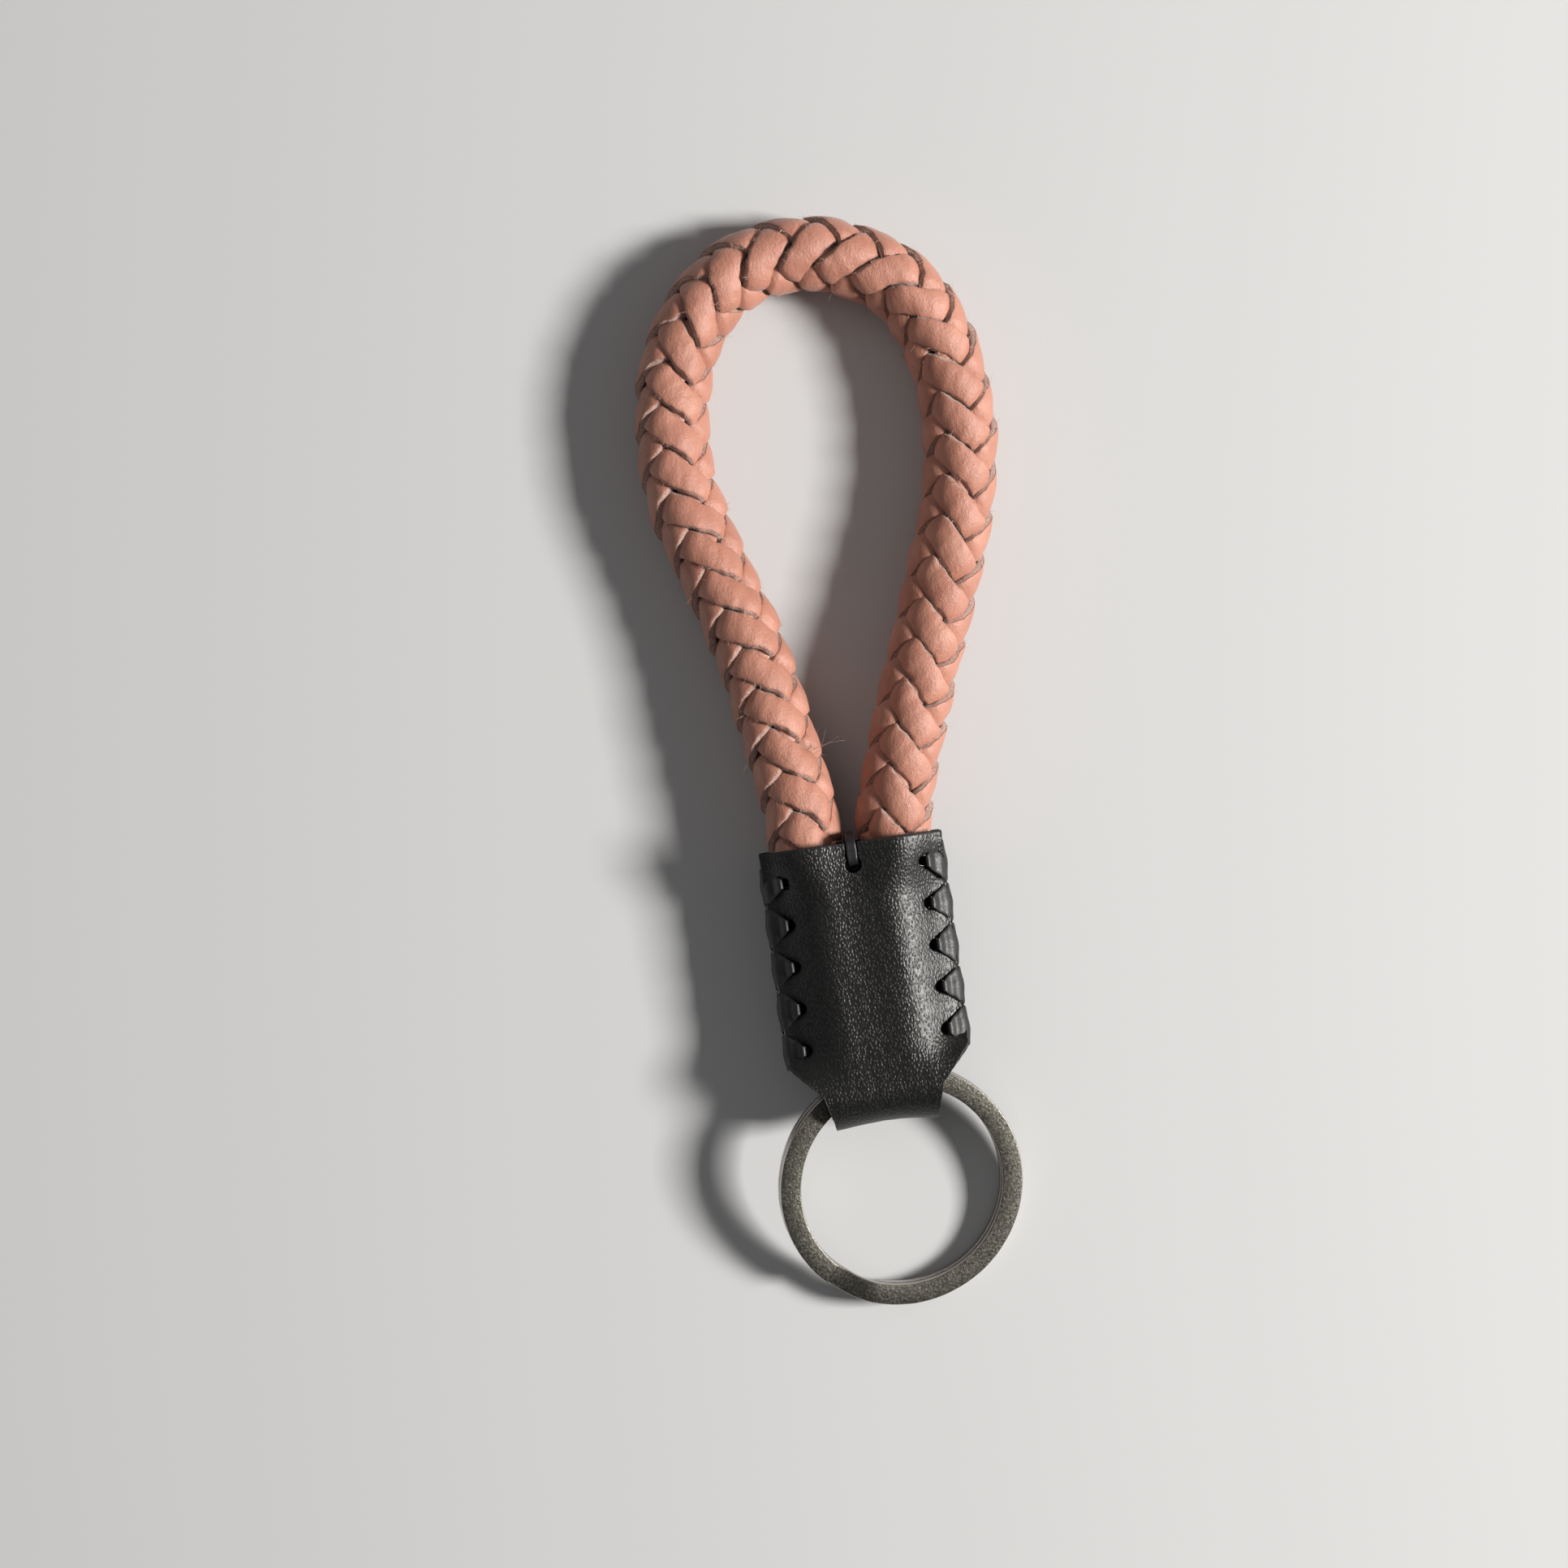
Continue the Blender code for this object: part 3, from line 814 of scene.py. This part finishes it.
def sheet_rawness(tall, wide, layers):
    """1 inside the sheet's cut edge, 0 on its two sides, and a half where they meet."""
    raw = np.zeros((layers, tall, wide))
    raw[1:-1] = 1.0
    for edge in (raw[:, 0], raw[:, -1], raw[:, :, 0], raw[:, :, -1]):
        edge[0] = 0.5
        edge[-1] = 0.5
    return raw


def make_sleeve(finish):
    """The folded strip with its thickness, pierced for the lacing and the centre stitch."""
    fold_rows, panel_rows, columns = ((22, 110, 84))
    fold = np.linspace(0, FOLD_SHARE, fold_rows + 1)[1:]
    panel = np.linspace(FOLD_SHARE, 1, panel_rows + 1)[1:]
    rows = np.concatenate([-panel[::-1], -fold[::-1], [0.0], fold, panel])
    s, v = np.meshgrid(rows, np.linspace(-1, 1, columns + 1), indexing="ij")
    inner = sleeve_inner(s, v)
    normal = sleeve_normal(s, v)
    moved = worn_shape(inner)[..., None]
    ragged = 0.05 * wander(s[..., 0] * 160, 51)[:, None]
    layers = []
    for share in (0.0, 0.12, 0.5, 0.88, 1.0):
        layer = inner + normal * (LEATHER * share + moved)
        inset = 0.09 * abs(2 * share - 1) ** 4
        layer[:, 0, 0] += inset + ragged[:, 0]
        layer[:, -1, 0] -= inset + ragged[:, 0]
        layers.append(layer)
    tall, wide = s.shape
    points = np.stack(layers).reshape(-1, 3)
    faces = sheet_faces(tall, wide, len(layers))
    raw = sheet_rawness(tall, wide, len(layers))
    used = sorted({v for face in faces for v in face})
    renumber = {old: new for new, old in enumerate(used)}
    faces = [[renumber[v] for v in face] for face in faces]
    sleeve = mesh_object("sleeve", points[used], faces, [finish], {"raw_edge": raw.ravel()[used]})
    pierce(sleeve)
    return sleeve


def prism(outline):
    """The points and faces of a closed prism that stands through the whole sleeve."""
    count = len(outline)
    points = [(x, y, MID_Z + end * CUTTER_HALF_HEIGHT) for end in (-1, 1) for x, y in outline]
    faces = [[k, (k + 1) % count, count + (k + 1) % count, count + k] for k in range(count)]
    return points, faces + [list(range(count))[::-1], list(range(count, 2 * count))]


def keyhole():
    """The slot that opens in the top edge, with the round hole at its foot."""
    foot = SLEEVE_TOP - SLOT_LENGTH
    half = SLOT_WIDTH / 2
    start = math.asin(half / SLOT_HOLE_RADIUS)
    outline = [(SLEEVE_X - half, SLEEVE_TOP + 2), (SLEEVE_X + half, SLEEVE_TOP + 2)]
    for angle in np.linspace(start, 2 * math.pi - start, 17):
        x = SLEEVE_X + SLOT_HOLE_RADIUS * math.sin(angle)
        outline.append((x, foot + SLOT_HOLE_RADIUS * math.cos(angle)))
    return outline[::-1]


def pierce(sleeve):
    """Cut the lacing holes and the keyhole slot through both panels.

    The cut is made with a millimetre as the unit: in metres it leaves stray faces behind.
    """
    turn = np.linspace(0, 2 * math.pi, HOLE_SIDES, endpoint=False) + HOLE_TURN
    rim = [(HOLE_RADIUS * math.cos(a), HOLE_RADIUS * math.sin(a)) for a in turn]
    outlines = [keyhole()]
    for x, y in lacing_holes():
        outlines.append([(x + right, y + up) for right, up in rim])
    points, faces = [], []
    for outline in outlines:
        more, sides = prism(outline)
        faces += [[v + len(points) for v in face] for face in sides]
        points += more
    cutter = mesh_object("sleeve_cutter", points, faces, [], smooth=False)
    for thing in (sleeve, cutter):
        thing.data.transform(Matrix.Scale(1 / MM, 4))
    cut = sleeve.modifiers.new("holes", "BOOLEAN")
    cut.operation = "DIFFERENCE"
    cut.solver = "EXACT"
    cut.object = cutter
    bpy.context.view_layer.update()
    graph = bpy.context.evaluated_depsgraph_get()
    pierced = bpy.data.meshes.new_from_object(sleeve.evaluated_get(graph))
    sleeve.modifiers.clear()
    sleeve.data = pierced
    sleeve.data.transform(Matrix.Scale(MM, 4))
    bpy.data.objects.remove(cutter, do_unlink=True)


# ---------------------------------------------------------------- the laces

def lace_route(side, sign):
    """Up through each hole, fanned out over the edge, and behind to the next: point and width."""
    holes = lacing_rows(side)
    shoulder_x = (HOLE_X + HALF_WIDTH) / 2
    route = []
    for i, y in enumerate(holes):
        fall = 0.4 if i == HOLE_COUNT - 1 else 1.0
        wide = LACE_WIDTH_AT_EDGE * (1 + 0.06 * math.sin(3.1 * i + sign))
        over = over_panel(HOLE_X, y - HINGE_Y, LACE_STANDOFF)
        before = over_panel(shoulder_x, y - HINGE_Y, LACE_STANDOFF)
        behind = over_panel(shoulder_x, y - 2.4 * fall - HINGE_Y, LACE_STANDOFF)
        at_edge = float(half_gap(HALF_WIDTH, y - HINGE_Y)) + LEATHER + LACE_STANDOFF
        in_hole = [
            (HOLE_X + 0.3 * share, y, over * share, LACE_WIDTH_IN_HOLE)
            for share in (-1.0, -0.6, 0.0, 0.6)
        ]
        route += in_hole + [
            (HOLE_X + 0.4, y, over - 0.12, 0.30 * wide),
            (shoulder_x, y, before, 0.62 * wide),
            (HALF_WIDTH - 0.3, y - 0.05, at_edge + 0.05, 0.92 * wide),
            (HALF_WIDTH + 0.30, y - 0.1 * fall, at_edge * 0.62, wide),
            (HALF_WIDTH + 0.36, y - 0.3 * fall, 0.0, wide),
            (HALF_WIDTH + 0.30, y - 0.6 * fall, -at_edge * 0.62, wide),
            (HALF_WIDTH - 0.3, y - 1.0 * fall, -at_edge, 0.88 * wide),
            (shoulder_x, y - 2.4 * fall, -behind, 0.5 * wide),
        ]
    places = [(SLEEVE_X + sign * x, y, MID_Z + z) for x, y, z, _ in route]
    return places, [width for _, _, _, width in route]


def ribbon(name, places, widths, finish, flat_axis=(0, 1, 0), outward=1):
    """A flat lace of changing width along a route, its flat side kept along one axis."""
    steps = 6
    path = smooth_route(places, steps)
    wide = np.interp(np.arange(len(path)) / steps, np.arange(len(widths)), widths)
    tangent = unit(np.gradient(path, axis=0))
    across = np.broadcast_to(np.array(flat_axis, float), path.shape)
    out = outward * unit(np.cross(tangent, across))
    half = 0.5 * np.maximum(LACE_THICKNESS, LACE_AREA / wide[:, None] - LACE_THICKNESS)
    upper = [(share, 1.0) for share in np.linspace(-0.9, 0.9, 9)]
    end = [(0.97, 0.6), (1.0, 0.0), (0.97, -0.6)]
    profile = np.array(upper + end + [(-share, -height) for share, height in upper + end])
    share = profile[None, :, 0]
    spread = np.maximum(wide[:, None] - 1, 0)
    sway = wander(np.arange(len(path)) * 0.2, 61)[:, None]
    pleat = PLEAT_DEPTH * spread * np.cos(5.5 * share + sway)
    section = np.stack([
        share * wide[:, None] / 2,
        profile[None, :, 1] * half - LACE_CURL * spread * share ** 2 + pleat,
    ], -1)
    points = sweep(path, across, out, section)
    faces = closed_sweep_faces(len(path), len(profile))
    return mesh_object(name, points.reshape(-1, 3), faces, [finish])


def make_lace(side, sign, finish):
    """The lace of one side, through its five holes."""
    places, widths = lace_route(side, sign)
    return ribbon(f"lace_{side}", places, widths, finish, outward=sign)


def make_stitch(finish):
    """The loop of lace that ties front to back between the two legs of the strap."""
    foot = SLEEVE_TOP - SLOT_LENGTH
    top = SLEEVE_TOP + STITCH_PROUD - 0.2
    reach = float(half_gap(0, foot - HINGE_Y)) + LEATHER * 0.8
    around = [
        (foot + 0.3, 0.0), (foot + 0.1, reach * 0.7), (foot + 0.5, reach + 0.1),
        ((foot + top) / 2, reach + 0.3), (top - 0.5, reach), (top, reach * 0.6), (top, 0.0),
        (top, -reach * 0.6), (top - 0.5, -reach), ((foot + top) / 2, -reach - 0.3),
        (foot + 0.5, -reach - 0.1), (foot + 0.1, -reach * 0.7), (foot + 0.3, -0.01),
    ]
    places = [(SLEEVE_X, y, MID_Z + z) for y, z in around]
    widths = [0.8, 0.9, 1.2, 1.3, 1.2, 1.0, 0.9, 1.0, 1.2, 1.3, 1.2, 0.9, 0.8]
    return ribbon("stitch", places, widths, finish, flat_axis=(1, 0, 0))


# ---------------------------------------------------------------- the ring

def rounded_wire(steps=4):
    """The wire's outline across the ring: radius, height, and 1 towards its walls, 0 on its flats."""
    corners = [
        (RING_OUTER_RADIUS, RING_WIRE_THICKNESS / 2, 0),
        (RING_OUTER_RADIUS - RING_WALL, RING_WIRE_THICKNESS / 2, 1),
        (RING_OUTER_RADIUS - RING_WALL, -RING_WIRE_THICKNESS / 2, 2),
        (RING_OUTER_RADIUS, -RING_WIRE_THICKNESS / 2, 3),
    ]
    outline = []
    for radius, height, quarter in corners:
        inward_r = -1 if radius == RING_OUTER_RADIUS else 1
        inward_z = -1 if height > 0 else 1
        centre = (radius + inward_r * RING_EDGE_ROUND, height + inward_z * RING_EDGE_ROUND)
        for step in range(steps + 1):
            angle = math.pi / 2 * (quarter + step / steps)
            on_wall = abs(math.cos(angle)) > 0.7
            outline.append((
                centre[0] + RING_EDGE_ROUND * math.cos(angle),
                centre[1] + RING_EDGE_ROUND * math.sin(angle),
                1.0 if on_wall else 0.0,
            ))
    return np.array(outline)


def make_ring(finish):
    """The split ring: flat wire wound twice, stepping from one coil to the other."""
    total = 720.0 - RING_RAMP_DEGREES
    count = 420
    turn = np.linspace(0, total, count + 1)
    angle = np.radians(RING_CROSSOVER_DEGREES + turn)
    level = (RING_WIRE_THICKNESS + RING_COIL_GAP) / 2
    height = blend(turn, [(360.0 - RING_RAMP_DEGREES, -level), (360.0, level)])
    outline = rounded_wire()
    radius = outline[None, :, 0] + 0.02 * wander(turn * 0.2, 71)[:, None]
    local = np.stack([
        radius * np.cos(angle)[:, None],
        radius * np.sin(angle)[:, None] - HINGE_TO_RING_CENTRE,
        np.broadcast_to(outline[None, :, 1] + height[:, None], radius.shape),
    ], -1)
    droop = math.radians(RING_DROOP_DEGREES)
    roll = math.radians(RING_ROLL_DEGREES)
    about_x = np.array([
        [1, 0, 0],
        [0, math.cos(droop), -math.sin(droop)],
        [0, math.sin(droop), math.cos(droop)],
    ])
    about_y = np.array([
        [math.cos(roll), 0, math.sin(roll)],
        [0, 1, 0],
        [-math.sin(roll), 0, math.cos(roll)],
    ])
    points = local @ (about_x @ about_y).T + HINGE
    wall = np.broadcast_to(outline[None, :, 2], radius.shape)
    faces = closed_sweep_faces(count + 1, len(outline))
    return mesh_object("ring", points.reshape(-1, 3), faces, [finish], {"wall": wall})


# ---------------------------------------------------------------- the studio

def make_studio():
    """A pale floor, a soft light low on the right, a faint fill, and an even grey surround."""
    bpy.context.scene.view_settings.view_transform = "Standard"
    half = FLOOR_HALF_SIZE
    corners = [(-half, -half, 0), (half, -half, 0), (half, half, 0), (-half, half, 0)]
    floor = mesh_object("floor", corners, [(0, 1, 2, 3)], [paper_floor()], smooth=False)
    floor.location.z = -FLOOR_DROP * MM
    world = bpy.data.worlds.new("surround")
    world.use_nodes = True
    background = world.node_tree.nodes["Background"]
    background.inputs["Color"].default_value = SURROUND_COLOUR
    background.inputs["Strength"].default_value = SURROUND_STRENGTH
    bpy.context.scene.world = world
    add_light("key", *KEY_LIGHT)
    add_light("fill", *FILL_LIGHT)


def add_light(name, place, size, power, colour):
    """A square light that faces the object."""
    data = bpy.data.lights.new(name, "AREA")
    data.size = size
    data.energy = power
    data.color = colour
    light = bpy.data.objects.new(name, data)
    light.location = Vector(place) * MM
    aim = Vector(CAMERA_TARGET) * MM - light.location
    light.rotation_euler = aim.to_track_quat("-Z", "Y").to_euler()
    bpy.context.scene.collection.objects.link(light)


def make_camera():
    """A camera that looks straight down, turned a little."""
    data = bpy.data.cameras.new("camera")
    data.sensor_width = 36.0
    data.lens = 36.0 * CAMERA_DISTANCE / VIEW_WIDTH
    data.clip_start = 0.01
    camera = bpy.data.objects.new("camera", data)
    x, y, z = CAMERA_TARGET
    camera.location = Vector((x, y, z + CAMERA_DISTANCE)) * MM
    camera.rotation_euler = (0, 0, math.radians(CAMERA_ROLL_DEGREES))
    bpy.context.scene.collection.objects.link(camera)
    bpy.context.scene.camera = camera


def dress():
    """Every piece of the object, each riding on its body and standing for its CAD node, if it has one."""
    strap = Strap(0.2)
    braid, edges = make_braid(strap, strap_leather())
    core = make_core(strap, core_painted_shade())
    fibres = make_fibres(edges, fibre_finish())
    thread = binding_thread()
    whippings = [make_whipping(side, thread) for side in ("left", "right")]
    sleeve = make_sleeve(sleeve_leather())
    black = lace_leather()
    lace_left = make_lace("left", -1, black)
    lace_right = make_lace("right", 1, black)
    stitch = make_stitch(black)
    ring = make_ring(ring_steel())
    pieces = [
        (braid, "holder", "strap_braid", "strap_leather"),
        (core, "holder", None, "strap_leather"),
        (fibres, "holder", None, "strap_leather"),
        (whippings[0], "holder", "strap_whipping_left", "thread"),
        (whippings[1], "holder", "strap_whipping_right", "thread"),
        (sleeve, "holder", "sleeve_leather", "sleeve_leather"),
        (lace_left, "holder", "side_lace_left", "lace"),
        (lace_right, "holder", "side_lace_right", "lace"),
        (stitch, "holder", "centre_stitch", "lace"),
        (ring, "ring", "split_ring", "ring_steel"),
    ]
    for piece, body, node, slot in pieces:
        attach(piece, body)
        if node is not None:
            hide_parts(node)


make_camera()
make_studio()
dress()
